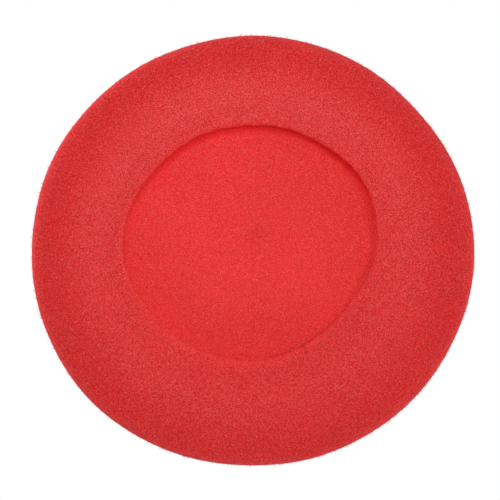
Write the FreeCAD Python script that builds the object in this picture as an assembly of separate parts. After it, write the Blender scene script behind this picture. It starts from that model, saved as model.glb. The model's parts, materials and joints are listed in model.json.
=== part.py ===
"""A plain felted-wool beret, lying as it is worn: crown up, head opening down on the table.

The axis of the round body is Z, the table is z = 0 and the origin is on the axis at the table.
Every length is in millimetres and every angle in degrees. "Depth" is measured into the cloth
from its outer face, so the felt lies between depth 0 and depth felt.
"""

import FreeCAD, Part
import math
import os

# Driving dimensions of the felt body
outer_diameter = 276.0
opening_diameter = 155.0
body_height = 24.0
felt = 2.4

# The rounded edge is half an ellipse in section, this wide from its centre line to the outside
roll_width = 28.0

# The underside rests on a flat ring beside the rounded edge, then rises to the head opening,
# which lies a little off the body's axis
contact_width = 8.0
lip_height = 4.0
opening_place = FreeCAD.Vector(0, -5.5, 0)

# The edge of the opening is turned in over an elastic cord
hem_width = 8.5
hem_rounding = 1.0
hem_slit = 0.3
elastic_radius = 0.8
elastic_clearance = 0.1

# Overcast stitches that hold the turned-in edge down
stitch_count = 72
stitch_radius = 0.3
stitch_rise = 0.55
stitch_drop = 0.7
stitch_bite = 1.8
stitch_slant = 1.2

# The stem on the crown, off the axis too, and the knot of its root on the inside
stem_place = FreeCAD.Vector(4, -10.5, 0)
stem_base_radius = 2.0
stem_tip_radius = 1.7
stem_length = 10.2
stem_clearance = 0.3
knot_radius = 4.5
knot_height = 1.6

# The seam that closes the knitted body runs straight from the stem's root to the opening
seam_azimuth = 68.0
seam_width = 1.6
seam_height = 0.9

# Derived sizes
outer_radius = outer_diameter / 2
opening_radius = opening_diameter / 2
equator_height = body_height / 2
roll_radius = outer_radius - roll_width
contact_radius = roll_radius - contact_width
hem_radius = opening_radius + hem_width
crown_inside = body_height - felt
hem_top = lip_height + 2 * felt
hem_middle = lip_height + felt
elastic_ring_radius = opening_radius + felt
channel_radius = elastic_radius + elastic_clearance
stem_pivot = body_height + stem_clearance + stem_base_radius

UP = FreeCAD.Vector(0, 0, 1)
ORIGIN = FreeCAD.Vector(0, 0, 0)
UPPER = 1
LOWER = -1


def at(radius, height):
    """A point of a section, which is drawn in the XZ plane."""
    return FreeCAD.Vector(radius, 0, height)


def line(start, end):
    return Part.LineSegment(start, end).toShape()


def arc(start, middle, end):
    return Part.Arc(start, middle, end).toShape()


def polyline(points):
    return [line(a, b) for a, b in zip(points, points[1:])]


def revolved(edges):
    """The solid that a closed ring of edges sweeps once round the axis."""
    face = Part.Face(Part.Wire(Part.__sortEdges__(edges)))
    return face.revolve(ORIGIN, UP, 360)


def disc(radius, low, high):
    return Part.makeCylinder(radius, high - low, at(0, low), UP)


def circle(radius, centre, height):
    return Part.Wire([Part.Circle(centre + UP * height, UP, radius).toShape()])


def roll_arc(depth, side):
    """A quarter of the rounded edge's section at this depth, from the equator to its other end."""
    width = roll_width - depth
    height = equator_height - depth
    centre = at(roll_radius, equator_height)
    ellipse = Part.Ellipse(centre + at(width, 0), centre + at(0, side * height), centre)
    return Part.ArcOfEllipse(ellipse, 0, math.pi / 2).toShape()


def roll_layer(side, outer_depth, inner_depth):
    """The upper or lower half of the rounded edge between two depths, cut at the equator."""
    end_height = equator_height * (1 + side)
    equator_cut = line(at(outer_radius - outer_depth, equator_height),
                       at(outer_radius - inner_depth, equator_height))
    end_cut = line(at(roll_radius, end_height - side * outer_depth),
                   at(roll_radius, end_height - side * inner_depth))
    return revolved([roll_arc(outer_depth, side), roll_arc(inner_depth, side), equator_cut, end_cut])


def crown_layer(outer_depth, inner_depth):
    """The flat crown between two depths."""
    return disc(roll_radius, body_height - inner_depth, body_height - outer_depth)


def slope_cone(depth):
    """The cone from the contact ring up to the hem, whose axis leans to the opening's place."""
    base = circle(contact_radius, ORIGIN, depth)
    top = circle(hem_radius, opening_place, lip_height + depth)
    return Part.makeLoft([base, top], True, True)


def underside_layer(outer_depth, inner_depth):
    """The flat contact ring and the slope up to the hem, between two depths."""
    outer_cone = slope_cone(outer_depth)
    inner_cone = slope_cone(inner_depth)
    hem_hole = disc(hem_radius, 0, body_height)
    hem_hole.translate(opening_place)
    flat_ring = disc(roll_radius, outer_depth, inner_depth).cut(disc(contact_radius, outer_depth, inner_depth))
    slope_band = disc(contact_radius, outer_depth, lip_height + inner_depth)
    below_inner = disc(contact_radius, outer_depth, inner_depth).fuse(inner_cone)
    sloped_ring = slope_band.common(below_inner).cut(outer_cone).cut(hem_hole)
    return flat_ring.fuse(sloped_ring).removeSplitter()


def opening_hem():
    """The cloth's edge folded back on itself, with a channel for the elastic in its fold."""
    inner = opening_radius
    rounding = hem_rounding
    shoulder = rounding * (1 - math.sqrt(0.5))
    slit_low = hem_middle - hem_slit / 2
    slit_high = hem_middle + hem_slit / 2
    channel_mouth = elastic_ring_radius + math.sqrt(channel_radius**2 - (hem_slit / 2) ** 2)
    lower_leaf = polyline([at(channel_mouth, slit_low), at(hem_radius, slit_low),
                           at(hem_radius, lip_height), at(inner + rounding, lip_height)])
    lower_corner = arc(at(inner + rounding, lip_height),
                       at(inner + shoulder, lip_height + shoulder),
                       at(inner, lip_height + rounding))
    head_wall = line(at(inner, lip_height + rounding), at(inner, hem_top - rounding))
    upper_corner = arc(at(inner, hem_top - rounding),
                       at(inner + shoulder, hem_top - shoulder),
                       at(inner + rounding, hem_top))
    upper_leaf = polyline([at(inner + rounding, hem_top), at(hem_radius, hem_top),
                           at(hem_radius, slit_high), at(channel_mouth, slit_high)])
    channel = arc(at(channel_mouth, slit_high),
                  at(elastic_ring_radius - channel_radius, hem_middle),
                  at(channel_mouth, slit_low))
    hem = revolved(lower_leaf + [lower_corner, head_wall, upper_corner] + upper_leaf + [channel])
    hem.translate(opening_place)
    return hem


def hem_elastic():
    """The elastic cord in the fold of the hem."""
    return Part.makeTorus(elastic_ring_radius, elastic_radius, opening_place + UP * hem_middle, UP)


def hem_stitch():
    """One stitch: an arch of thread over the end of the turned-in edge, into the underside."""
    start = at(hem_radius - stitch_bite, hem_top)
    top = FreeCAD.Rotation(UP, stitch_slant / 2).multVec(at(hem_radius, hem_top + stitch_rise))
    end = FreeCAD.Rotation(UP, stitch_slant).multVec(at(hem_radius + stitch_bite, hem_middle - stitch_drop))
    path = arc(start, top, end)
    thread = Part.Circle(start, path.tangentAt(path.FirstParameter), stitch_radius).toShape()
    return Part.Wire([path]).makePipeShell([Part.Wire([thread])], True, True)


def hem_stitches():
    """The stitches all round the hem, as a group of separate solids."""
    one = hem_stitch()
    stitches = []
    for number in range(stitch_count):
        stitch = one.copy()
        stitch.rotate(ORIGIN, UP, number * 360 / stitch_count)
        stitch.translate(opening_place)
        stitches.append(stitch)
    return Part.makeCompound(stitches)


def seam_slab():
    """An upright slab as wide as the seam, from the knot of the stem's root outwards."""
    slab = Part.makeBox(outer_diameter, seam_width, body_height, FreeCAD.Vector(knot_radius, -seam_width / 2, 0))
    slab.rotate(ORIGIN, UP, seam_azimuth)
    slab.translate(stem_place)
    return slab


def linking_seam_crown():
    """The ridge of linking stitches inside the crown and the upper half of the rounded edge."""
    crest = felt + seam_height
    inside = crown_layer(felt, crest).fuse(roll_layer(UPPER, felt, crest))
    return seam_slab().common(inside).removeSplitter()


def linking_seam_underside():
    """The same ridge inside the lower half of the rounded edge and along the underside."""
    crest = felt + seam_height
    inside = underside_layer(felt, crest).fuse(roll_layer(LOWER, felt, crest))
    stitches_zone = disc(hem_radius + 2 * stitch_bite, 0, body_height)
    stitches_zone.translate(opening_place)
    return seam_slab().common(inside).cut(stitches_zone).removeSplitter()


def stem_root_knot():
    """The flat knot inside the crown, where the stem is drawn through and fastened."""
    cap_radius = (knot_radius**2 + knot_height**2) / (2 * knot_height)
    half_way = math.asin(knot_radius / cap_radius) / 2
    cap_centre = crown_inside - knot_height + cap_radius
    rim = at(knot_radius, crown_inside)
    lowest = at(0, crown_inside - knot_height)
    between = at(cap_radius * math.sin(half_way), cap_centre - cap_radius * math.cos(half_way))
    knot = revolved(polyline([lowest, at(0, crown_inside), rim]) + [arc(rim, between, lowest)])
    knot.translate(stem_place)
    return knot


def stem():
    """The short felted stem, which tips about the centre of its ball-shaped foot."""
    foot = stem_base_radius
    tip = stem_tip_radius
    diagonal = math.sqrt(0.5)
    tip_start = stem_pivot + stem_length - tip
    lowest = at(0, stem_pivot - foot)
    highest = at(0, stem_pivot + stem_length)
    ball = arc(lowest, at(foot * diagonal, stem_pivot - foot * diagonal), at(foot, stem_pivot))
    side = line(at(foot, stem_pivot), at(tip, tip_start))
    end = arc(at(tip, tip_start), at(tip * diagonal, tip_start + tip * diagonal), highest)
    shaft = revolved([ball, side, end, line(highest, lowest)])
    shaft.translate(stem_place)
    return shaft


NODES = {
    "crown_top": crown_layer(0, felt),
    "edge_roll_upper": roll_layer(UPPER, 0, felt),
    "edge_roll_lower": roll_layer(LOWER, 0, felt),
    "underside_ring": underside_layer(0, felt),
    "opening_hem": opening_hem(),
    "hem_elastic": hem_elastic(),
    "hem_stitches": hem_stitches(),
    "linking_seam_crown": linking_seam_crown(),
    "linking_seam_underside": linking_seam_underside(),
    "stem_root_knot": stem_root_knot(),
    "stem": stem(),
}

os.makedirs("parts", exist_ok=True)
for name, shape in NODES.items():
    shape.exportStep(f"parts/{name}.step")
    print(name, "valid", shape.isValid(), "solids", len(shape.Solids), "volume mm3", round(shape.Volume, 1))
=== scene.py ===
"""The looks of a felted-wool beret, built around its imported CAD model.

The hat lies crown up on a pale floor. The camera looks at its underside, almost square on, from
below: the floor is one-sided, so it shows only from above. Lengths are in metres.
"""

import json
import math

import bpy
import numpy as np
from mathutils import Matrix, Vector


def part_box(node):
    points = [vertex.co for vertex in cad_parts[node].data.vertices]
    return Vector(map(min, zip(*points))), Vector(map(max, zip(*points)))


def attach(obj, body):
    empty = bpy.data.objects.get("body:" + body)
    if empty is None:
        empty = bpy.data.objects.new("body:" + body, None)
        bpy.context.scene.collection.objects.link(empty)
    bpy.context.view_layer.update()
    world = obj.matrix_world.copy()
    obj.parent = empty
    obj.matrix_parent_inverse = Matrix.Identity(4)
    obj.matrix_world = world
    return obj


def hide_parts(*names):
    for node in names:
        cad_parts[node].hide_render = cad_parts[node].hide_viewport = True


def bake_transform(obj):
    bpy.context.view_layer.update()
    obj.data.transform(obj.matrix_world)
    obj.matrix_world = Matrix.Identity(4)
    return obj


MM = 0.001
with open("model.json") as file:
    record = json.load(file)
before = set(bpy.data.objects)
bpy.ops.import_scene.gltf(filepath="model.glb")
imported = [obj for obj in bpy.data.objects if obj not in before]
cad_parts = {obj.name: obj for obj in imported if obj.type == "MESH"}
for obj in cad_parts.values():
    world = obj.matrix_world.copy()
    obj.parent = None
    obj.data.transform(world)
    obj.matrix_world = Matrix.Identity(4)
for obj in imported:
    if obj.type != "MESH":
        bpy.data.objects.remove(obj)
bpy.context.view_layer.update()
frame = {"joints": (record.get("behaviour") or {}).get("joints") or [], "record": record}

# ---------------------------------------------------------------- sizes from the frame

crown_low, crown_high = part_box("crown_top")
roll_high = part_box("edge_roll_lower")[1]
hem_low, hem_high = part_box("opening_hem")
stem_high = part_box("stem")[1]
stem_joint = next(j for j in frame["joints"] if j["name"] == "stem_bend")
opening = next(m for m in frame["record"]["mounts"] if m["name"] == "head_opening")

FELT = crown_high.z - crown_low.z
HALF_FELT = FELT / 2
HEIGHT = crown_high.z
EQUATOR = roll_high.z
OUTER_RADIUS = roll_high.x
ROLL_RADIUS = crown_high.x
LIP_HEIGHT = hem_low.z
OPENING_RADIUS = opening["dims"]["r_mm"] * MM
HEM_WIDTH = (hem_high.x - hem_low.x) / 2 - OPENING_RADIUS
OPENING_PLACE = np.array([opening["pos_m"][0], opening["pos_m"][1]])
STEM_PIVOT = Vector(stem_joint["pos_m"])
STEM_PLACE = np.array([STEM_PIVOT.x, STEM_PIVOT.y])
STEM_TOP = stem_high.z

# ---------------------------------------------------------------- the soft shape

# The worn-in hat is a little oval, and so is its opening: factors along X and Y
OUTER_OVAL = np.array([1.0145, 0.9895])
OPENING_OVAL = np.array([1.026, 0.945])

# Where each outline is pulled out of its oval, or in where the distance is below 0: by what
# distance, at which azimuth and over what width, both in degrees
OUTER_PULLS = (
    (-1.05 * MM, 75, 95),
    (-0.7 * MM, -110, 45),
)
OPENING_PULLS = (
    (-5.4 * MM, 32, 32),
    (-1.0 * MM, -150, 22),
    (2.1 * MM, -33, 24),
    (1.3 * MM, -75, 38),
    (1.2 * MM, -125, 22),
    (1.8 * MM, -176, 20),
)

# Waves along each outline: the height, how many go round, and the phase in radians
OUTER_WAVES = (
    (0.5 * MM, 3, 0.6),
    (0.35 * MM, 5, 2.1),
    (0.15 * MM, 11, 0.0),
)
OPENING_WAVES = (
    (0.4 * MM, 4, 1.0),
    (0.25 * MM, 9, 0.4),
    (0.16 * MM, 31, 2.0),
    (0.14 * MM, 53, 0.0),
    (0.10 * MM, 83, 1.0),
)

# Undulations of the crown: the height, the length and the seed
CROWN_WAVES = (
    (1.3 * MM, 170 * MM, 11),
    (0.4 * MM, 60 * MM, 12),
    (0.10 * MM, 22 * MM, 14),
    (0.05 * MM, 10 * MM, 15),
)

CONTACT_WIDTH = 8 * MM
FOLD_RADIUS = 1.35 * MM
CROWN_SAG = 0.8 * MM

# The elastic cord, and how much thinner it squeezes the felt in the fold
ELASTIC_RADIUS = 0.8 * MM
ELASTIC_ROOM = ELASTIC_RADIUS + HALF_FELT - FOLD_RADIUS + 0.05 * MM

# The linking seam runs out from the stem's root to this azimuth of the edge. It shows outside as
# a groove, deepest at the lip.
SEAM_AZIMUTH = math.radians(63.2)
SEAM_GROOVE_WIDTH = 1.0 * MM
SEAM_GROOVE_DEPTH = 0.5 * MM
SEAM_GROOVE_SPAN = math.radians(3.0)

# Section lines round the hat, and the closer ones that take their place within a span each side
# of the seam
AROUND = 330
SEAM_COLUMNS = 27
SEAM_SPAN = math.radians(3.2)
SEAM_SPACING = math.radians(0.4)

# Azimuths where the lip is raised most, where the felt beside it is rubbed most and painted sheen makes
# it paler and brighter, where that felt looks like the inside over a broad band of painted light, and
# where the lip's shadow is painted as a deep red
LIP_RAISED_AZIMUTH = math.radians(130)
PAINTED_SHEEN_AZIMUTH = math.radians(-100)
LIT_LIP_AZIMUTH = math.radians(128)
LIP_SHADOW_AZIMUTH = math.radians(-80)

# Rows of the cloth from the crown's centre to its rim, closer together at the centre, and then
# along each later part of the section
CROWN_ROWS = 46
CROWN_CROWDING = 1.3
PART_ROWS = {1: 45, 2: 3, 3: 18, 4: 8, 5: 5}

# Beyond this station, in the lip's fold, the cloth's outer face looks like the inside
INSIDE_STATION = 4.35


def smooth(value, low, high):
    """A smooth step from 0 at low to 1 at high."""
    t = np.clip((value - low) / (high - low), 0, 1)
    return t * t * (3 - 2 * t)


def even_turn(count):
    """Azimuths evenly round the hat."""
    return np.linspace(0, 2 * math.pi, count, endpoint=False)


def turned_from(angle, centre):
    """How far an azimuth is turned from another, between half a turn back and half a turn on."""
    return (angle - centre + math.pi) % (2 * math.pi) - math.pi


def bump_at(angle, centre, width):
    """A bell of height 1 round an azimuth."""
    return np.exp(-((turned_from(angle, centre) / width) ** 2))


def ripple(x, y, wavelength, seed, waves=7):
    """Smooth seeded noise of about -1 to 1: a sum of plane waves in random directions."""
    rng = np.random.default_rng(seed)
    total = np.zeros_like(x)
    for _ in range(waves):
        heading = rng.uniform(0, 2 * math.pi)
        phase = rng.uniform(0, 2 * math.pi)
        pitch = wavelength * rng.uniform(0.75, 1.5)
        along = x * math.cos(heading) + y * math.sin(heading)
        total = total + np.sin(2 * math.pi * along / pitch + phase)
    return total / math.sqrt(waves)


def oval_radius(angle, semi_axes):
    """The radius of an oval at an azimuth."""
    semi_x, semi_y = semi_axes
    return 1 / np.sqrt((np.cos(angle) / semi_x) ** 2 + (np.sin(angle) / semi_y) ** 2)


def off_oval(angle, pulls, waves):
    """How far an outline lies outside its oval."""
    total = np.zeros_like(angle)
    for distance, azimuth, width in pulls:
        total = total + distance * bump_at(angle, math.radians(azimuth), math.radians(width))
    for height, number, phase in waves:
        total = total + height * np.sin(number * angle + phase)
    return total


def outer_radius(angle):
    """The plan outline of the equator."""
    oval = oval_radius(angle, OUTER_RADIUS * OUTER_OVAL)
    return oval + off_oval(angle, OUTER_PULLS, OUTER_WAVES)


def lip_radius(angle):
    """The plan outline of the head opening."""
    oval = oval_radius(angle, OPENING_RADIUS * OPENING_OVAL)
    return oval + off_oval(angle, OPENING_PULLS, OPENING_WAVES)


def azimuths():
    """Azimuths of the section lines, closer together at the seam."""
    even = even_turn(AROUND)
    fine = SEAM_AZIMUTH + np.linspace(-SEAM_SPAN, SEAM_SPAN, SEAM_COLUMNS)
    away = np.abs(even - SEAM_AZIMUTH) > SEAM_SPAN + SEAM_SPACING
    return np.sort(np.concatenate([even[away], fine]))


def section(station, angle):
    """Points of the cloth's middle surface round the hat at one station of its section.

    The stations run along the cloth: 0 is the crown's centre, 1 the top of the rounded edge, 2 its
    bottom, 3 the inside of the flat contact ring, 4 the start of the lip's fold, 5 the end of the
    fold, and 6 the end of the turned-in edge.
    """
    outer = outer_radius(angle)
    roll = outer - (OUTER_RADIUS - ROLL_RADIUS)
    contact = roll - CONTACT_WIDTH
    fold = lip_radius(angle) + FOLD_RADIUS + HALF_FELT
    hem_height = LIP_HEIGHT + HALF_FELT
    part = min(int(station), 5)
    t = station - part
    turn = t * math.pi
    centre = (0, 0)
    if part == 0:
        centre = STEM_PLACE * (1 - t)
        radius = t * roll
        height = HEIGHT - HALF_FELT
    elif part == 1:
        radius = roll + (outer - roll - HALF_FELT) * math.sin(turn)
        height = EQUATOR + (EQUATOR - HALF_FELT) * math.cos(turn)
    elif part == 2:
        radius = roll + (contact - roll) * t
        height = HALF_FELT
    elif part == 3:
        centre = OPENING_PLACE * t
        radius = contact + (fold - contact) * t
        height = HALF_FELT + smooth(t, 0, 0.8) * LIP_HEIGHT
    elif part == 4:
        centre = OPENING_PLACE
        radius = fold - FOLD_RADIUS * math.sin(turn)
        height = hem_height + FOLD_RADIUS * (1 - math.cos(turn))
    else:
        centre = OPENING_PLACE
        radius = fold + (HEM_WIDTH - FELT) * t
        height = hem_height + 2 * FOLD_RADIUS
    x = centre[0] + radius * np.cos(angle)
    y = centre[1] + radius * np.sin(angle)
    return np.stack([x, y, np.full(len(angle), height)], axis=1)


def stations():
    """The stations of the cloth's rows, closer together where it bends."""
    rows = [np.linspace(0, 1, CROWN_ROWS) ** CROWN_CROWDING]
    for part, count in PART_ROWS.items():
        rows.append(part + np.linspace(0, 1, count + 1)[1:])
    return np.concatenate(rows)


def row_at(station):
    """The first row at this station or beyond it."""
    return int(np.searchsorted(stations(), station - 1e-9))


def cloth_grid():
    """The cloth's middle surface, one row per station."""
    angle = azimuths()
    return np.array([section(station, angle) for station in stations()])


# The coarse cloth that is let settle: rings of 6, 12, 18 ... points to the rounded edge, and then
# rings of as many points as the last one down to the table
SETTLE_RINGS = 18
SETTLE_EDGE_RINGS = 14
SETTLE_FRAMES = 40

# No point settles further than the limit. Each ring's movement is kept as its first waves round the
# hat, and the movement of neighbouring rows is averaged this many times.
SETTLE_LIMIT = 4.0 * MM
SETTLE_HARMONICS = 12
SETTLE_AVERAGES = 8


def settling_rings():
    """The coarse cloth's rings: their stations and azimuths."""
    rings = []
    for k in range(1, SETTLE_RINGS + 1):
        rings.append((k / SETTLE_RINGS, even_turn(6 * k)))
    for k in range(1, SETTLE_EDGE_RINGS + 1):
        rings.append((1 + k / SETTLE_EDGE_RINGS, even_turn(6 * SETTLE_RINGS)))
    return rings


def settling_faces():
    """The coarse cloth's faces: triangles in six sectors to the rounded edge, and then quads."""
    faces = [(0, 1 + i, 1 + (i + 1) % 6) for i in range(6)]
    first = 1
    for k in range(1, SETTLE_RINGS):
        inner = 6 * k
        outer = 6 * (k + 1)
        second = first + inner
        for sector in range(6):
            for i in range(k + 1):
                near = first + (sector * k + i) % inner
                far = second + sector * (k + 1) + i
                far_next = second + (sector * (k + 1) + i + 1) % outer
                faces.append((near, far, far_next))
                if i < k:
                    faces.append((near, far_next, first + (sector * k + i + 1) % inner))
        first = second
    around = 6 * SETTLE_RINGS
    for k in range(SETTLE_EDGE_RINGS):
        base = first + k * around
        for i in range(around):
            j = (i + 1) % around
            faces.append((base + i, base + around + i, base + around + j, base + j))
    return faces


def settled(points, rings):
    """The coarse cloth's points after it has settled under its own weight.

    It is held by the lower half of the rounded edge. The shrinking below 0 lets it grow a little,
    so it has some slack.
    """
    cloth = mesh_object("settling_cloth", points, settling_faces())
    held = cloth.vertex_groups.new(name="held")
    number = 1
    for station, angle in rings:
        grip = float(smooth(station, 1.45, 1.8))
        held.add(list(range(number, number + len(angle))), grip, "REPLACE")
        number += len(angle)
    settings = cloth.modifiers.new("cloth", "CLOTH").settings
    settings.quality = 8
    settings.mass = 0.0006
    settings.tension_stiffness = 12
    settings.compression_stiffness = 12
    settings.shear_stiffness = 6
    settings.bending_model = "ANGULAR"
    settings.bending_stiffness = 0.03
    settings.bending_damping = 0.5
    settings.tension_damping = 5
    settings.air_damping = 2
    settings.vertex_group_mass = "held"
    settings.pin_stiffness = 1.0
    settings.shrink_min = -0.0018
    scene = bpy.context.scene
    start = scene.frame_current
    for number in range(1, SETTLE_FRAMES + 1):
        scene.frame_set(number)
    depsgraph = bpy.context.evaluated_depsgraph_get()
    mesh = cloth.evaluated_get(depsgraph).to_mesh()
    result = np.empty(3 * len(mesh.vertices))
    mesh.vertices.foreach_get("co", result)
    bpy.data.objects.remove(cloth)
    scene.frame_set(start)
    return result.reshape(-1, 3)


def ring_waves(moved, rings):
    """Each ring's movement as waves round the hat, with the crown's centre as the first ring."""
    waves = np.zeros((len(rings) + 1, SETTLE_HARMONICS, 3), dtype=complex)
    waves[0, 0] = moved[0]
    number = 1
    for index, (station, angle) in enumerate(rings):
        count = len(angle)
        ring = np.fft.rfft(moved[number:number + count], axis=0) / count
        ring[1:] *= 2
        kept = min(len(ring), SETTLE_HARMONICS)
        waves[index + 1, :kept] = ring[:kept]
        number += count
    return waves


def settling(grid_stations, angle):
    """How far each point of the fine grid moves as the cloth settles, fading out near the table."""
    rings = settling_rings()
    rest = [section(0, np.zeros(1))] + [section(station, ring_angle) for station, ring_angle in rings]
    rest = soften(np.concatenate(rest))
    moved = settled(rest, rings) - rest
    moved = SETTLE_LIMIT * np.tanh(moved / SETTLE_LIMIT)
    waves = ring_waves(moved, rings)
    ring_stations = [0] + [station for station, ring_angle in rings]
    turning = np.exp(1j * np.outer(np.arange(SETTLE_HARMONICS), angle))
    rows = []
    for station in grid_stations:
        share = np.array([[np.interp(station, ring_stations, waves[:, harmonic, axis])
                           for axis in range(3)] for harmonic in range(SETTLE_HARMONICS)])
        row = (turning[:, :, None] * share[:, None, :]).sum(axis=0).real
        rows.append(row * (1 - smooth(station, 1.7, 2.0)))
    rows = np.array(rows)
    for _ in range(SETTLE_AVERAGES):
        rows[1:-1] = (rows[:-2] + 2 * rows[1:-1] + rows[2:]) / 4
    return rows


def crown_waves(x, y):
    """The crown's undulations and its sag."""
    reach = np.hypot(x, y) / ROLL_RADIUS
    waves = -CROWN_SAG * np.clip(1 - reach**2, 0, 1)
    for height, wavelength, seed in CROWN_WAVES:
        waves = waves + height * ripple(x, y, wavelength, seed)
    return waves


def raised_lip(x, y):
    """How far the underside beside the opening is raised, most at one azimuth."""
    reach = np.hypot(x, y) / ROLL_RADIUS
    azimuth = np.arctan2(y, x)
    one_side = np.cos(azimuth - LIP_RAISED_AZIMUTH)
    raised = 0.40 * MM + 0.88 * MM * one_side + 0.24 * MM * np.sin(3 * azimuth)
    return raised * smooth(-reach, -0.95, -0.76)


def stem_pucker(x, y):
    """The cloth drawn up into the stem's foot, with seven puckers and a shallow dish round it."""
    stem_x = x - STEM_PLACE[0]
    stem_y = y - STEM_PLACE[1]
    from_stem = np.hypot(stem_x, stem_y)
    turn = np.arctan2(stem_y, stem_x)
    pucker = 0.3 * MM * np.cos(7 * turn + 0.7) * np.exp(-(((from_stem - 6 * MM) / (5 * MM)) ** 2))
    foot = 1.2 * MM * np.exp(-((from_stem / (4.5 * MM)) ** 2))
    dish = 0.5 * MM * np.exp(-((from_stem / (12 * MM)) ** 2))
    return pucker + foot - dish


def soften(grid):
    """The grid with its sag and undulations, the raised lip and the puckers round the stem."""
    x, y, z = grid[..., 0], grid[..., 1], grid[..., 2]
    upper = smooth(z, EQUATOR * 0.8, HEIGHT - FELT)
    lower = smooth(-z, -EQUATOR, -FELT)
    unevenly_lying = 0.35 * MM * (1 + ripple(x, y, 120 * MM, seed=13)).clip(0, 2)
    height = z + upper * crown_waves(x, y) + lower * unevenly_lying
    height = height + (z < EQUATOR) * raised_lip(x, y) + (z > EQUATOR) * stem_pucker(x, y)
    out = grid.copy()
    out[..., 2] = np.maximum(height, HALF_FELT)
    return out


def grid_normals(grid):
    """Unit normals of the middle surface, pointing out of the hat."""
    along = np.gradient(grid, axis=0)
    wrapped = np.concatenate([grid[:, -1:], grid, grid[:, :1]], axis=1)
    around = wrapped[:, 2:] - wrapped[:, :-2]
    normal = np.cross(along, around)
    normal[0] = (0, 0, 1)
    length = np.linalg.norm(normal, axis=-1, keepdims=True)
    return normal / np.maximum(length, 1e-12)


def mesh_object(name, points, faces, materials=(), face_material=None):
    """An object in the scene with a smooth-shaded mesh."""
    mesh = bpy.data.meshes.new(name)
    mesh.from_pydata([tuple(p) for p in points], [], [tuple(f) for f in faces])
    for material in materials:
        mesh.materials.append(material)
    if face_material is not None:
        mesh.polygons.foreach_set("material_index", np.asarray(face_material, dtype=np.int32))
    mesh.polygons.foreach_set("use_smooth", np.ones(len(mesh.polygons), dtype=bool))
    mesh.update()
    return in_scene(bpy.data.objects.new(name, mesh))


def in_scene(obj):
    """The object, after it has been put in the scene."""
    bpy.context.scene.collection.objects.link(obj)
    return obj


def felt_faces(grid, normals):
    """Points of the cloth's outer and inner faces, and how deep the seam's groove is outside."""
    away = turned_from(azimuths()[None, :], SEAM_AZIMUTH)
    radius = np.hypot(grid[..., 0] - STEM_PLACE[0], grid[..., 1] - STEM_PLACE[1])
    groove = np.exp(-((away * radius / SEAM_GROOVE_WIDTH) ** 2)) * (np.abs(away) < SEAM_GROOVE_SPAN)
    from_lip = beyond_lip(grid)
    near_lip = 0.8 * np.exp(-from_lip / (3 * MM)) + 0.2 * np.exp(-from_lip / (14 * MM))
    on_crown = 0.12 * smooth(radius, 4 * MM, 20 * MM)
    groove = groove * np.where(grid[..., 2] < EQUATOR, near_lip, on_crown)
    outer = grid + normals * (HALF_FELT - SEAM_GROOVE_DEPTH * groove)[..., None]
    # The felt is thinner in the lip's fold, where the elastic lies
    station = stations()
    in_fold = smooth(station, 3.88, 4.0) * (1 - smooth(station, 5.0, 5.35))
    inner_depth = HALF_FELT - ELASTIC_ROOM * in_fold
    inner = grid - normals * inner_depth[:, None, None]
    return outer, inner, groove


def beyond_lip(grid):
    """Distance in plan from the lip's edge outwards."""
    from_centre = np.hypot(grid[..., 0] - OPENING_PLACE[0], grid[..., 1] - OPENING_PLACE[1])
    return from_centre - lip_radius(azimuths())


def wear_and_painted_sheen(grid):
    """How far the nap is rubbed paler: most beside the opening and along the outermost edge, with painted
    sheen making one side paler and brighter.
    """
    reach = np.hypot(grid[..., 0], grid[..., 1]) / OUTER_RADIUS
    above_outermost = grid[..., 2] - EQUATOR + 1 * MM
    outermost = 0.9 * np.exp(-((above_outermost / (3.5 * MM)) ** 2)) * (reach > 0.9)
    azimuth = np.arctan2(grid[..., 1], grid[..., 0])
    # Painted sheen: the ring beside the opening is made paler and brighter towards one side, as if lit
    # from there
    one_side = 0.7 + 0.3 * np.cos(azimuth - PAINTED_SHEEN_AZIMUTH)
    below = smooth(-grid[..., 2], -EQUATOR, -FELT)
    beside_opening = below * smooth(-reach, -0.93, -0.70) * one_side
    return np.maximum(beside_opening + (1 - below) * 0.25, outermost)


def inside_look_and_painted_light(grid):
    """How far the felt outside the lip takes the inside's brighter colour: a narrow band, and on one side
    a broad band of painted light where the lip looks lit.
    """
    azimuth = np.arctan2(grid[..., 1], grid[..., 0])
    # Painted light: the band is broadest on the side where the lip is lit
    broad = (0.5 + 0.5 * np.cos(azimuth - LIT_LIP_AZIMUTH)) ** 4
    reach = (1.0 + 8.0 * broad) * MM
    beyond = np.maximum(beyond_lip(grid), 0)
    return np.exp(-((beyond / reach) ** 2)) * (grid[..., 2] < EQUATOR)


def painted_lip_shadow_mask(grid):
    """How strongly the lip's shadow is painted in, as a deep saturated red, on the side where it falls.

    The first result is for the outer face, in the lip's fold. The second is for the inner face, on
    the crown beyond the lip.
    """
    azimuth = np.arctan2(grid[..., 1], grid[..., 0])
    # Painted shadow: only on the side where the lip's shadow falls
    one_side = smooth(np.cos(azimuth - LIP_SHADOW_AZIMUTH), -0.1, 0.85)
    in_fold = smooth(stations(), 4.0, 4.5)[:, None]
    on_crown = smooth(beyond_lip(grid), -6 * MM, 0)
    return in_fold * one_side, on_crown * one_side


def mark_felt(felt, name, on_outer, on_inner):
    """Gives the felt's points an attribute, from its values on the outer and inner faces."""
    rings = np.concatenate([on_outer[1:], on_inner[:0:-1]])
    values = np.concatenate([[0], rings.reshape(-1), [0]])
    attribute = felt.data.attributes.new(name, "FLOAT", "POINT")
    attribute.data.foreach_set("value", values.astype(np.float32))


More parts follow.
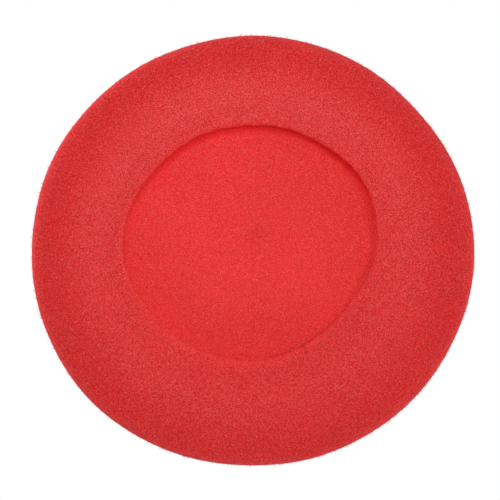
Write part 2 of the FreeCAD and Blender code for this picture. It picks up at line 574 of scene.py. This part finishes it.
def build_felt(grid, normals, outside, inside):
    """The whole felted body as one closed cloth."""
    outer, inner, groove = felt_faces(grid, normals)
    around = grid.shape[1]
    rings = np.concatenate([outer[1:], inner[:0:-1]])
    points = np.concatenate([outer[:1, 0], rings.reshape(-1, 3), inner[:1, 0]])
    last = len(points) - 1
    last_ring = last - around
    inside_row = row_at(INSIDE_STATION)
    faces = []
    is_inside = []
    for j in range(around):
        faces.append((0, 1 + j, 1 + (j + 1) % around))
        is_inside.append(0)
    for i in range(len(rings) - 1):
        base = 1 + i * around
        for j in range(around):
            k = (j + 1) % around
            faces.append((base + j, base + around + j, base + around + k, base + k))
            is_inside.append(int(i >= inside_row))
    for j in range(around):
        faces.append((last_ring + j, last, last_ring + (j + 1) % around))
        is_inside.append(1)
    felt = mesh_object("felt_body", points, faces, [outside, inside], is_inside)
    nowhere = np.zeros(grid.shape[:2])
    mark_felt(felt, "seam", groove, nowhere)
    # Attributes with painted light in them: sheen on one side in the wear, the lit band beside the lip,
    # and the lip's shadow
    mark_felt(felt, "worn_and_painted_sheen", wear_and_painted_sheen(grid), nowhere)
    mark_felt(felt, "fresh_and_painted_light", inside_look_and_painted_light(grid), nowhere)
    mark_felt(felt, "painted_lip_shadow", *painted_lip_shadow_mask(grid))
    return felt, outer, inner


# ---------------------------------------------------------------- materials


class Tree:
    """A short way to write a node tree."""

    def __init__(self, tree):
        self.tree = tree

    def add(self, kind, inputs=None, **settings):
        """A new node, with these values or links at its inputs."""
        node = self.tree.nodes.new(kind)
        for key, value in settings.items():
            setattr(node, key, value)
        for key, value in (inputs or {}).items():
            self.put(node.inputs[key], value)
        return node

    def put(self, socket, value):
        """Gives an input a link, if the value is another node's output, or else a plain value."""
        if isinstance(value, bpy.types.NodeSocket):
            self.tree.links.new(value, socket)
        else:
            socket.default_value = value

    def remap(self, value, low, high, to_low=0.0, to_high=1.0):
        """A value of low to high, spread over to_low to to_high and held there beyond them."""
        node = self.add("ShaderNodeMapRange", {
            "Value": value, "From Min": low, "From Max": high, "To Min": to_low, "To Max": to_high})
        return node.outputs["Result"]

    def vector_math(self, operation, a, b=(0, 0, 0), output="Vector"):
        node = self.add("ShaderNodeVectorMath", {0: a, 1: b}, operation=operation)
        return node.outputs[output]


class Nodes(Tree):
    """The node tree of a new material."""

    def __init__(self, name):
        self.material = bpy.data.materials.new(name)
        self.material.use_nodes = True
        super().__init__(self.material.node_tree)
        self.shader = self.tree.nodes["Principled BSDF"]
        self.place = self.add("ShaderNodeTexCoord").outputs["Object"]

    def noise(self, size, detail=3.0, roughness=0.55, distortion=0.0, stretch=None):
        """Noise of 0 to 1 with features of this size in metres."""
        place = self.place
        if stretch:
            place = self.add("ShaderNodeMapping", {"Vector": place, "Scale": stretch}).outputs["Vector"]
        node = self.add("ShaderNodeTexNoise", {
            "Vector": place, "Scale": 1 / size, "Detail": detail,
            "Roughness": roughness, "Distortion": distortion})
        return node.outputs["Fac"]

    def attribute(self, name):
        return self.add("ShaderNodeAttribute", attribute_name=name).outputs["Fac"]

    def mix(self, factor, a, b):
        node = self.add("ShaderNodeMix", data_type="RGBA")
        self.put(node.inputs["Factor"], factor)
        self.put(node.inputs["A"], a)
        self.put(node.inputs["B"], b)
        return node.outputs["Result"]

    def math(self, operation, a, b):
        node = self.add("ShaderNodeMath", operation=operation)
        self.put(node.inputs[0], a)
        self.put(node.inputs[1], b)
        return node.outputs["Value"]

    def bump(self, height, distance, strength=1.0):
        node = self.add("ShaderNodeBump", {"Height": height, "Distance": distance, "Strength": strength})
        return node.outputs["Normal"]

    def finish(self, colour, normal=None, roughness=0.9, sheen=0.3, tint=(1, 1, 1), specular=0.25):
        """The finished material."""
        self.put(self.shader.inputs["Base Color"], colour)
        self.put(self.shader.inputs["Roughness"], roughness)
        self.shader.inputs["Sheen Weight"].default_value = sheen
        self.shader.inputs["Sheen Roughness"].default_value = 0.5
        self.shader.inputs["Sheen Tint"].default_value = (*tint, 1)
        self.shader.inputs["Specular IOR Level"].default_value = specular
        if normal is not None:
            self.put(self.shader.inputs["Normal"], normal)
        return self.material


def rgba(red, green, blue):
    return (red, green, blue, 1.0)


# The colours of the wool, as linear light
RED = rgba(0.75, 0.020, 0.020)
DEEP_RED = rgba(0.56, 0.012, 0.013)
GAP_RED = rgba(0.50, 0.008, 0.009)
PALE_RED = rgba(0.96, 0.160, 0.155)
# A paler red for rubbed felt, also painted on as sheen on one side of the ring
RUBBED_AND_SHEEN_RED = rgba(0.82, 0.046, 0.046)
INNER_RED = rgba(0.93, 0.036, 0.037)
# Painted into the lip's shadow: redder and less green than the lit wool
LIP_SHADOW_RED = rgba(0.95, 0.018, 0.019)
ROOT_RED = rgba(0.64, 0.034, 0.032)
SEAM_RED = rgba(0.42, 0.008, 0.010)


def felt_grain(n, dark_share, pale_share):
    """Matted wool: dark gaps between small clumps, pale tufts, smaller still, and a height."""
    clumps = n.noise(0.75 * MM, detail=2, roughness=0.5)
    tufts = n.noise(0.6 * MM, detail=2, roughness=0.6, distortion=0.6)
    dark = n.remap(clumps, 0.50, 0.38, 0.0, dark_share)
    pale = n.remap(tufts, 0.50, 0.62, 0.0, pale_share)
    height = n.math("ADD", n.math("MULTIPLY", clumps, 0.5), n.math("MULTIPLY", tufts, 0.6))
    return dark, pale, height


def painted_lip_shadow_wool(n, colour, pale):
    """Painted shadow: a deep saturated red without pale tufts, where the lip's shadow falls."""
    painted_lip_shadow = n.attribute("painted_lip_shadow")
    pale = n.math("MULTIPLY", pale, n.remap(painted_lip_shadow, 0.0, 1.0, 1.0, 0.15))
    return n.mix(painted_lip_shadow, colour, LIP_SHADOW_RED), pale


def napped_felt():
    """The brushed outside: matted wool, rubbed paler beside the opening, with painted sheen on one side,
    a painted lit band beside the lip and the lip's painted shadow.
    """
    n = Nodes("felt_outside")
    worn_and_painted_sheen = n.attribute("worn_and_painted_sheen")
    seam = n.attribute("seam")
    fresh_and_painted_light = n.attribute("fresh_and_painted_light")
    dark, pale, height = felt_grain(n, 0.85, 0.76)
    # Pale tufts show more where the felt is rubbed and where the sheen is painted
    pale = n.math("MULTIPLY", pale, n.remap(worn_and_painted_sheen, 0.0, 1.0, 0.6, 1.0))
    patches = n.noise(38 * MM, detail=2)
    colour = n.mix(n.remap(patches, 0.3, 0.7, 0.0, 0.30), RED, DEEP_RED)
    # Rubbed felt, with painted sheen on one side of the ring
    rubbed_and_painted_sheen = n.math("MULTIPLY", worn_and_painted_sheen, n.remap(n.noise(16 * MM, detail=3), 0.3, 0.7, 0.55, 1.0))
    colour = n.mix(rubbed_and_painted_sheen, colour, RUBBED_AND_SHEEN_RED)
    # Painted light: the felt beside the lip brightened towards the inside's colour, broadly on its lit
    # side
    colour = n.mix(n.math("MULTIPLY", fresh_and_painted_light, 0.75), colour, INNER_RED)
    # The lip's painted shadow, in the fold
    colour, pale = painted_lip_shadow_wool(n, colour, pale)
    colour = n.mix(dark, colour, GAP_RED)
    colour = n.mix(pale, colour, PALE_RED)
    colour = n.mix(n.remap(seam, 0.0, 0.8, 0.0, 0.6), colour, SEAM_RED)
    return n.finish(colour, n.bump(height, 0.5 * MM, 0.8), sheen=0.12, tint=(1, 0.3, 0.3), specular=0.04)


def near(n, place, radius):
    """1 at this place of the hat, falling to 0 at this distance in plan."""
    flat = n.vector_math("MULTIPLY", n.place, (1, 1, 0))
    gap = n.vector_math("DISTANCE", flat, (place[0], place[1], 0), "Value")
    return n.remap(gap, radius, 0)


def plain_felt():
    """The inside, less brushed and a little brighter, darker round the stem's root, with the lip's shadow
    painted on it.
    """
    n = Nodes("felt_inside")
    dark, pale, height = felt_grain(n, 0.5, 0.54)
    patches = n.noise(60 * MM, detail=2)
    colour = n.mix(n.remap(patches, 0.3, 0.7, 0.0, 0.25), INNER_RED, DEEP_RED)
    # The lip's painted shadow, on the crown beyond the lip
    colour, pale = painted_lip_shadow_wool(n, colour, pale)
    colour = n.mix(dark, colour, DEEP_RED)
    colour = n.mix(pale, colour, PALE_RED)
    ragged = n.remap(n.noise(5 * MM, detail=3, distortion=0.8), 0.35, 0.65, 0.2, 1.3)
    root = n.math("MULTIPLY", near(n, STEM_PLACE, 13 * MM), ragged)
    colour = n.mix(n.remap(root, 0.1, 0.9, 0.0, 0.42), colour, ROOT_RED)
    return n.finish(colour, n.bump(height, 0.3 * MM, 0.6), sheen=0.08, tint=(1, 0.2, 0.2), specular=0.02)


def fibre_wool():
    """Loose surface fibres, which catch the light."""
    n = Nodes("surface_fibre")
    tone = n.noise(3 * MM, detail=2)
    colour = n.mix(n.remap(tone, 0.35, 0.65), rgba(0.86, 0.05, 0.05), rgba(0.96, 0.24, 0.23))
    return n.finish(colour, roughness=0.7, sheen=0.1, tint=(1, 0.8, 0.8), specular=0.1)


def root_wool():
    """The stem's root inside, felted nearly flat into the crown."""
    n = Nodes("root_wool")
    matting = n.noise(1.5 * MM, detail=4, roughness=0.65)
    colour = n.mix(n.remap(matting, 0.35, 0.65), ROOT_RED, rgba(0.80, 0.040, 0.040))
    return n.finish(colour, n.bump(matting, 0.3 * MM), sheen=0.03, specular=0.05)


def stem_wool():
    """The stem: the same wool, felted along its length and rubbed a little paler."""
    n = Nodes("stem_wool")
    dark, pale, height = felt_grain(n, 0.6, 0.8)
    streaks = n.noise(0.6 * MM, detail=3, stretch=(1, 1, 0.25))
    colour = n.mix(n.remap(streaks, 0.35, 0.65), RED, RUBBED_AND_SHEEN_RED)
    colour = n.mix(dark, colour, DEEP_RED)
    colour = n.mix(pale, colour, PALE_RED)
    height = n.math("ADD", height, streaks)
    return n.finish(colour, n.bump(height, 0.4 * MM, 0.8), sheen=0.04, tint=(1, 0.6, 0.58), specular=0.05)


def yarn(name, dark, light, ply, roughness=0.8):
    """Twisted yarn or thread, with its plies as diagonal ribs."""
    n = Nodes(name)
    wave = n.add("ShaderNodeTexWave", {
        "Vector": n.place, "Scale": 1 / ply, "Distortion": 2.0, "Detail": 2.0},
        bands_direction="DIAGONAL").outputs["Fac"]
    hair = n.noise(0.3 * MM, detail=3)
    colour = n.mix(n.remap(wave, 0.1, 0.9), dark, light)
    colour = n.mix(n.remap(hair, 0.55, 0.8, 0.0, 0.35), colour, PALE_RED)
    return n.finish(colour, n.bump(wave, 0.12 * MM), roughness=roughness, sheen=0.03, specular=0.06)


# ---------------------------------------------------------------- small meshes


def tube_points(path, radii, sides):
    """Rings of points round a path, without twist."""
    path = np.asarray(path, dtype=float)
    tangents = np.gradient(path, axis=0)
    tangents /= np.linalg.norm(tangents, axis=1, keepdims=True)
    helper = np.array([0.0, 0.0, 1.0])
    if abs(tangents[0] @ helper) > 0.9:
        helper = np.array([1.0, 0.0, 0.0])
    across = np.cross(tangents[0], helper)
    turns = even_turn(sides)
    rings = []
    for point, tangent, radius in zip(path, tangents, radii):
        across = across - tangent * (across @ tangent)
        across /= np.linalg.norm(across)
        beside = np.cross(tangent, across)
        circle = np.outer(np.cos(turns), across) + np.outer(np.sin(turns), beside)
        rings.append(point + radius * circle)
    return np.array(rings)


def tube_faces(count, sides, closed=False):
    """Faces of a tube of this many rings, capped at its ends unless it closes on itself."""
    faces = []
    for i in range(count if closed else count - 1):
        near = i * sides
        far = (i + 1) % count * sides
        for j in range(sides):
            k = (j + 1) % sides
            faces.append((near + j, near + k, far + k, far + j))
    if not closed:
        faces.append(tuple(range(sides))[::-1])
        faces.append(tuple((count - 1) * sides + j for j in range(sides)))
    return faces


class Tubes:
    """Collects thin round tubes into one mesh."""

    def __init__(self):
        self.points = []
        self.faces = []
        self.total = 0

    def add(self, path, radii, sides, closed=False):
        rings = tube_points(path, radii, sides)
        for face in tube_faces(len(rings), sides, closed):
            self.faces.append(tuple(corner + self.total for corner in face))
        self.points.append(rings.reshape(-1, 3))
        self.total += len(rings) * sides

    def build(self, name, material):
        return mesh_object(name, np.concatenate(self.points), self.faces, [material])


def lip_point(angle, beyond, height):
    """A point beyond the lip's edge by this much, outwards in plan."""
    radius = lip_radius(np.array([angle]))[0] + beyond
    x = OPENING_PLACE[0] + radius * math.cos(angle)
    y = OPENING_PLACE[1] + radius * math.sin(angle)
    return np.array([x, y, height])


def cloth_height(grid, station, angle):
    """Height of the cloth's middle at this station and azimuth."""
    away = turned_from(azimuths(), angle)
    return grid[row_at(station), np.argmin(np.abs(away)), 2]


# The stem's tip leans this far from its foot, and its root is a swirl of this many turns
STEM_RINGS = 34
STEM_SIDES = 28
STEM_LEAN = np.array([0.9, -0.6]) * MM
KNOT_TURNS = 2.4

# The hem's stitches slant by this azimuth, and the linking stitches swing once in each pitch
STITCH_COUNT = 72
STITCH_SLANT = math.radians(1.2)
STITCH_RADIUS = 0.22 * MM
LINKING_PITCH = 2.4 * MM
LINKING_RADIUS = 0.28 * MM

# The nap stands in tufts of fibres, whose roots spread about this far from the tuft's place
FIBRE_RADIUS = 0.034 * MM
FIBRES_PER_TUFT = 5
TUFT_SPREAD = 0.15 * MM

# Fibres stand this dense on flat cloth, and denser by up to 1 where it is upright
FLAT_DENSITY = 0.4

# A fibre's faces, on 3 points round its root, 3 round its middle and 1 at its tip
FIBRE_FACES = np.array([
    (0, 2, 1),
    (0, 1, 4), (0, 4, 3), (1, 2, 5), (1, 5, 4), (2, 0, 3), (2, 3, 5),
    (3, 4, 6), (4, 5, 6), (5, 3, 6),
])


def shared(values):
    """Each tuft's value, once for each of its fibres."""
    return np.repeat(values, FIBRES_PER_TUFT, axis=0)


def in_surface(vectors, up):
    """The vectors without their part along the normals."""
    return vectors - up * np.sum(vectors * up, axis=1, keepdims=True)


def tuft_places(surface, normals, tufts, rng):
    """Random places on a stretch of the surface and the normals there, once for each fibre."""
    corner = surface[:-1]
    along = surface[1:] - corner
    around = np.roll(corner, -1, axis=1) - corner
    area = np.linalg.norm(np.cross(along, around), axis=-1)
    upright = 1 - np.abs(normals[:-1, :, 2])
    area *= FLAT_DENSITY + upright
    chance = (area / area.sum()).reshape(-1)
    cell = shared(rng.choice(len(chance), size=tufts, p=chance))
    row, column = np.divmod(cell, area.shape[1])
    share_along = shared(rng.random((tufts, 1)))
    share_around = shared(rng.random((tufts, 1)))
    place = corner[row, column] + share_along * along[row, column] + share_around * around[row, column]
    return place, normals[row, column]


def build_fibres(name, surface, normals, count, length, lift, seed, material):
    """Loose fibres in small tufts on a stretch of the surface: thin curved spikes with three sides.

    They rise from the surface by about lift, in degrees, and are about as long as length.
    """
    rng = np.random.default_rng(seed)
    tufts = count // FIBRES_PER_TUFT
    place, up = tuft_places(surface, normals, tufts, rng)
    root = place + in_surface(TUFT_SPREAD * rng.normal(size=(count, 3)), up)
    heading = shared(rng.normal(size=(tufts, 3))) + 0.4 * rng.normal(size=(count, 3))
    heading = in_surface(heading, up)
    heading /= np.linalg.norm(heading, axis=1, keepdims=True)
    beside = np.cross(up, heading)
    size = length * rng.lognormal(0, 0.35, (count, 1))
    rise = np.radians(lift) * rng.lognormal(0, 0.5, (count, 1)).clip(0.2, 2.5)
    bend = rng.normal(0, 0.35, (count, 1))
    ahead = heading * np.cos(rise) + up * np.sin(rise)
    middle = root + size * 0.5 * (ahead + beside * bend * 0.4)
    tip = root + size * (heading * np.cos(rise * 0.7) + up * np.sin(rise * 0.7) * 0.9 + beside * bend)
    root = root - up * 0.1 * MM
    for point in (middle, tip):
        point[:, 2] = np.maximum(point[:, 2], 0.06 * MM)
    turns = even_turn(3)
    circle = beside[:, None] * np.cos(turns)[None, :, None] + up[:, None] * np.sin(turns)[None, :, None]
    points = np.concatenate([
        root[:, None] + circle * FIBRE_RADIUS,
        middle[:, None] + circle * FIBRE_RADIUS * 0.8,
        tip[:, None]], axis=1)
    first_points = points.shape[1] * np.arange(count)[:, None, None]
    faces = (FIBRE_FACES[None] + first_points).reshape(-1, 3)
    return triangle_object(name, points.reshape(-1, 3), faces, material)


def triangle_object(name, points, faces, material):
    """A mesh of many triangles, filled in fast."""
    mesh = bpy.data.meshes.new(name)
    mesh.vertices.add(len(points))
    mesh.vertices.foreach_set("co", points.astype(np.float32).reshape(-1))
    mesh.loops.add(faces.size)
    mesh.loops.foreach_set("vertex_index", faces.astype(np.int32).reshape(-1))
    mesh.polygons.add(len(faces))
    mesh.polygons.foreach_set("loop_start", np.arange(0, faces.size, 3, dtype=np.int32))
    mesh.polygons.foreach_set("use_smooth", np.ones(len(faces), dtype=bool))
    mesh.materials.append(material)
    mesh.update(calc_edges=True)
    mesh.validate()
    return in_scene(bpy.data.objects.new(name, mesh))


def stem_radius(t):
    """The stem's radius from its foot to its tip: flared, slim, thicker and then rounded off."""
    flare = 2.6 * math.exp(-t / 0.09)
    thicker = 0.35 * math.exp(-(((t - 0.86) / 0.13) ** 2))
    rounding = math.sqrt(max(1 - max(0, (t - 0.9) / 0.1) ** 2, 0.0))
    return (1.75 - 0.15 * t + flare + thicker) * rounding * MM


def stem_surface(crown_point):
    """Rings of points up the leaning, lumpy stem, and their normals."""
    base = crown_point[2] - 1.0 * MM
    length = STEM_TOP - 1.2 * MM - base
    rng = np.random.default_rng(31)
    turns = even_turn(STEM_SIDES)
    rings = []
    for t in np.linspace(0, 1, STEM_RINGS):
        centre = STEM_PLACE + STEM_LEAN * t**2
        lumps = 1 + 0.05 * np.sin(3 * turns + 5 * t) + 0.04 * np.sin(5 * turns - 9 * t)
        lumps = lumps + rng.normal(0, 0.012, STEM_SIDES)
        x = centre[0] + stem_radius(t) * lumps * np.cos(turns)
        y = centre[1] + stem_radius(t) * lumps * np.sin(turns)
        rings.append(np.stack([x, y, np.full(STEM_SIDES, base + length * t)], axis=1))
    rings = np.array(rings)
    normals = rings - rings.mean(axis=1, keepdims=True)
    normals /= np.linalg.norm(normals, axis=-1, keepdims=True) + 0.01 * MM
    return rings, normals


def build_stem(material, rings):
    """The felted stem, whose foot flares into the crown."""
    return mesh_object("stem_felt", rings.reshape(-1, 3), tube_faces(STEM_RINGS, STEM_SIDES), [material])


def build_knot(material, crown_inside):
    """The root of the stem inside: a flat swirl of matted yarn."""
    turns = np.linspace(0, KNOT_TURNS * 2 * math.pi, 90)
    reach = (0.9 + 0.20 * turns) * MM
    x = STEM_PLACE[0] + reach * np.cos(turns)
    y = STEM_PLACE[1] + reach * 0.9 * np.sin(turns)
    z = crown_inside[2] + (0.15 + 0.05 * turns) * MM
    swirl = Tubes()
    swirl.add(np.stack([x, y, z], axis=1), (0.75 - 0.02 * turns) * MM, sides=10)
    return swirl.build("stem_root", material)


def build_elastic(material, grid):
    """The elastic cord in the lip's fold."""
    turns = even_turn(220)
    path = []
    for angle in turns:
        height = cloth_height(grid, 4, angle) + FOLD_RADIUS
        path.append(lip_point(angle, FOLD_RADIUS + HALF_FELT, height))
    cord = Tubes()
    cord.add(path, np.full(len(turns), ELASTIC_RADIUS), sides=10, closed=True)
    return cord.build("elastic_in_hem", material)


def build_hem_stitches(material, grid):
    """Slanting stitches over the end of the turned-in edge, into the underside."""
    stitches = Tubes()
    flap_end = HALF_FELT + FOLD_RADIUS + HEM_WIDTH - FELT
    for number in range(STITCH_COUNT):
        angle = 2 * math.pi * number / STITCH_COUNT
        top = cloth_height(grid, 6, angle) + HALF_FELT
        underside = cloth_height(grid, 3.66, angle) + HALF_FELT
        start = lip_point(angle, flap_end - 1.8 * MM, top - 0.1 * MM)
        over = lip_point(angle + STITCH_SLANT / 2, flap_end + 0.1 * MM, top + 0.35 * MM)
        end = lip_point(angle + STITCH_SLANT, flap_end + 1.6 * MM, underside - 0.3 * MM)
        bend = 2 * over - (start + end) / 2
        path = [(1 - t) ** 2 * start + 2 * t * (1 - t) * bend + t**2 * end for t in np.linspace(0, 1, 9)]
        stitches.add(path, np.full(len(path), STITCH_RADIUS), sides=6)
    return stitches.build("hem_thread", material)


def build_linking(name, line_of_points, line_of_normals, material):
    """Linking stitches, sunk in the inner face: a zigzag of yarn along the seam."""
    steps = np.linalg.norm(np.diff(line_of_points, axis=0), axis=1)
    distance = np.concatenate([[0], np.cumsum(steps)])
    count = int(distance[-1] / LINKING_PITCH) * 8
    at = np.linspace(0, distance[-1], count)
    line = np.stack([np.interp(at, distance, line_of_points[:, k]) for k in range(3)], axis=1)
    normal = np.stack([np.interp(at, distance, line_of_normals[:, k]) for k in range(3)], axis=1)
    side = np.cross(np.gradient(line, axis=0), normal)
    side /= np.linalg.norm(side, axis=1, keepdims=True)
    turn = 2 * math.pi * at / LINKING_PITCH
    swing = 0.55 * MM * np.sin(turn)
    lift = 0.27 * MM + 0.08 * MM * np.cos(2 * turn)
    path = line + side * swing[:, None] + normal * lift[:, None]
    zigzag = Tubes()
    zigzag.add(path, np.full(count, LINKING_RADIUS), sides=6)
    return zigzag.build(name, material)


# ---------------------------------------------------------------- stage


def build_floor():
    """A pale floor that glows by itself, with a painted contact shade and brighter farther out; it shows
    only from above and blocks no light.
    """
    reach = 4.0
    corners = [(-reach, -reach, 0), (reach, -reach, 0), (reach, reach, 0), (-reach, reach, 0)]
    floor = mesh_object("floor", corners, [(0, 1, 2, 3)])
    n = Nodes("pale_floor")
    shade = n.add("ShaderNodeAmbientOcclusion", {"Distance": 90 * MM}, samples=16).outputs["AO"]
    away = n.vector_math("LENGTH", n.place, output="Value")
    pale = n.mix(n.remap(away, 0.3, 2.0), rgba(0.90, 0.90, 0.90), rgba(1, 1, 1))
    colour = n.mix(n.remap(shade, 0.35, 1.0), rgba(0.50, 0.46, 0.46), pale)
    glow = n.add("ShaderNodeEmission", {"Color": colour}).outputs[0]
    clear = n.add("ShaderNodeBsdfTransparent").outputs[0]
    below = n.add("ShaderNodeNewGeometry").outputs["Backfacing"]
    shown = n.add("ShaderNodeMixShader", {0: below, 1: glow, 2: clear}).outputs[0]
    n.put(n.tree.nodes["Material Output"].inputs["Surface"], shown)
    floor.data.materials.append(n.material)
    floor.visible_shadow = False
    floor.visible_diffuse = False
    floor.visible_glossy = False
    floor.visible_transmission = False


def build_world(below, beside, above, bright_side, unevenness):
    """White to the camera; as light, a bright band all round with a dimmer floor and ceiling.

    The band is brighter by unevenness towards bright_side and dimmer by as much opposite it.
    """
    world = bpy.data.worlds.new("white_studio")
    bpy.context.scene.world = world
    world.use_nodes = True
    n = Tree(world.node_tree)
    direction = n.add("ShaderNodeTexCoord").outputs["Generated"]
    height = n.add("ShaderNodeSeparateXYZ", {0: direction}).outputs["Z"]
    ramp = n.add("ShaderNodeValToRGB", {0: n.remap(height, -1, 1)})
    stops = ramp.color_ramp.elements
    for position, grey in ((0.15, below), (0.42, beside), (0.58, beside), (0.85, above)):
        stop = stops.new(position)
        stop.color = rgba(grey, grey, grey)
    stops.remove(stops[0])
    stops.remove(stops[-1])
    facing = n.vector_math("DOT_PRODUCT", direction, bright_side, "Value")
    strength = n.remap(facing, -1, 1, 1 - unevenness, 1 + unevenness)
    level = ramp.outputs["Color"]
    light = n.add("ShaderNodeBackground", {"Color": level, "Strength": strength}).outputs[0]
    seen = n.add("ShaderNodeBackground", {"Color": rgba(1, 1, 1)}).outputs[0]
    to_camera = n.add("ShaderNodeLightPath").outputs["Is Camera Ray"]
    shown = n.add("ShaderNodeMixShader", {0: to_camera, 1: light, 2: seen}).outputs[0]
    n.put(n.tree.nodes["World Output"].inputs["Surface"], shown)


def build_light(name, towards, distance, size, power):
    """A soft square light, in this direction from the hat, facing it."""
    data = bpy.data.lights.new(name, "AREA")
    data.shape = "SQUARE"
    data.size = size
    data.energy = power
    light = in_scene(bpy.data.objects.new(name, data))
    direction = Vector(towards).normalized()
    light.location = Vector((0, 0, EQUATOR)) + direction * distance
    light.rotation_euler = direction.to_track_quat("Z", "Y").to_euler()
    light.visible_camera = False


def build_camera(elevation, distance, seen_width, aim):
    """The camera, in front of the hat (azimuth 0) at this elevation, looking at this point."""
    data = bpy.data.cameras.new("camera")
    data.sensor_width = 36
    data.lens = data.sensor_width * distance / seen_width
    data.clip_end = 20
    camera = in_scene(bpy.data.objects.new("camera", data))
    tilt = math.radians(elevation)
    backwards = Vector((0, -math.cos(tilt), math.sin(tilt)))
    camera.location = Vector(aim) + backwards * distance
    camera.rotation_euler = backwards.to_track_quat("Z", "Y").to_euler()
    bpy.context.scene.camera = camera


# ---------------------------------------------------------------- the scene

build_camera(elevation=-88, distance=1.5, seen_width=0.316, aim=(-1.4 * MM, -1.7 * MM, EQUATOR))

cloth = soften(cloth_grid()) + settling(stations(), azimuths())
cloth_normals = grid_normals(cloth)
felt, outer_face, inner_face = build_felt(cloth, cloth_normals, napped_felt(), plain_felt())
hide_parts("crown_top", "edge_roll_upper", "edge_roll_lower", "underside_ring", "opening_hem")
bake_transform(felt)

# Each nap's first and last station, and how far its fibres rise in degrees
naps = {
    "nap_crown": (0, 1, 14),
    "nap_edge_upper": (1, 1.5, 32),
    "nap_edge_lower": (1.5, 2, 32),
    "nap_underside": (2, 4, 14),
}
fibre = fibre_wool()
for index, (name, (start, end, lift)) in enumerate(naps.items()):
    rows = slice(row_at(start), row_at(end) + 1)
    nap = build_fibres(name, outer_face[rows], cloth_normals[rows], count=16000, length=1.6 * MM,
                       lift=lift, seed=50 + index, material=fibre)
    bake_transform(nap)

stem_rings, stem_normals = stem_surface(outer_face[0, 0])
stem = build_stem(stem_wool(), stem_rings)
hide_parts("stem")
stem_nap = build_fibres("nap_stem", stem_rings, stem_normals, count=1500, length=1.1 * MM,
                        lift=18, seed=60, material=fibre)
for piece in (stem, stem_nap):
    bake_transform(piece)

root = build_knot(root_wool(), inner_face[0, 0])
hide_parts("stem_root_knot")
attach(root, "crown")

elastic_braid = yarn("elastic_braid", rgba(0.40, 0.01, 0.01), rgba(0.70, 0.03, 0.03), 0.6 * MM)
elastic = build_elastic(elastic_braid, cloth)
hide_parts("hem_elastic")
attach(elastic, "underside")

sewing_thread = yarn("hem_thread", rgba(0.5, 0.012, 0.012), rgba(0.74, 0.03, 0.03), 0.3 * MM)
stitches = build_hem_stitches(sewing_thread, cloth)
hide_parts("hem_stitches")
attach(stitches, "underside")

seam_yarn = yarn("linking_yarn", rgba(0.86, 0.036, 0.036), rgba(0.93, 0.045, 0.045), 0.5 * MM)
seam_column = int(np.argmin(np.abs(azimuths() - SEAM_AZIMUTH)))
# Each half of the seam: its piece, its node, and its first and last station
halves = (
    ("linking_crown", "linking_seam_crown", 0.08, 1.5),
    ("linking_underside", "linking_seam_underside", 1.5, 3.55),
)
for name, node, start, end in halves:
    rows = slice(row_at(start), row_at(end) + 1)
    seam = build_linking(name, inner_face[rows, seam_column], cloth_normals[rows, seam_column], seam_yarn)
    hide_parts(node)
    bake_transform(seam)

build_floor()
build_world(below=0.12, beside=1.05, above=0.34, bright_side=(-0.1, 1.0, 0), unevenness=0.12)
build_light("front_below", towards=(-0.01, -0.15, -1.0), distance=0.5, size=0.14, power=0.90)
build_light("key_below", towards=(-0.13, -0.36, -1.0), distance=4.0, size=0.85, power=25)
build_light("side_below", towards=(0.37, -0.07, -1.0), distance=4.0, size=0.85, power=23)
build_light("key_above", towards=(-0.9, -0.4, 0.45), distance=1.8, size=0.6, power=20)
build_light("fill_above", towards=(0.9, 0.5, 0.5), distance=2.0, size=1.2, power=10)

bpy.context.scene.view_settings.view_transform = "Standard"
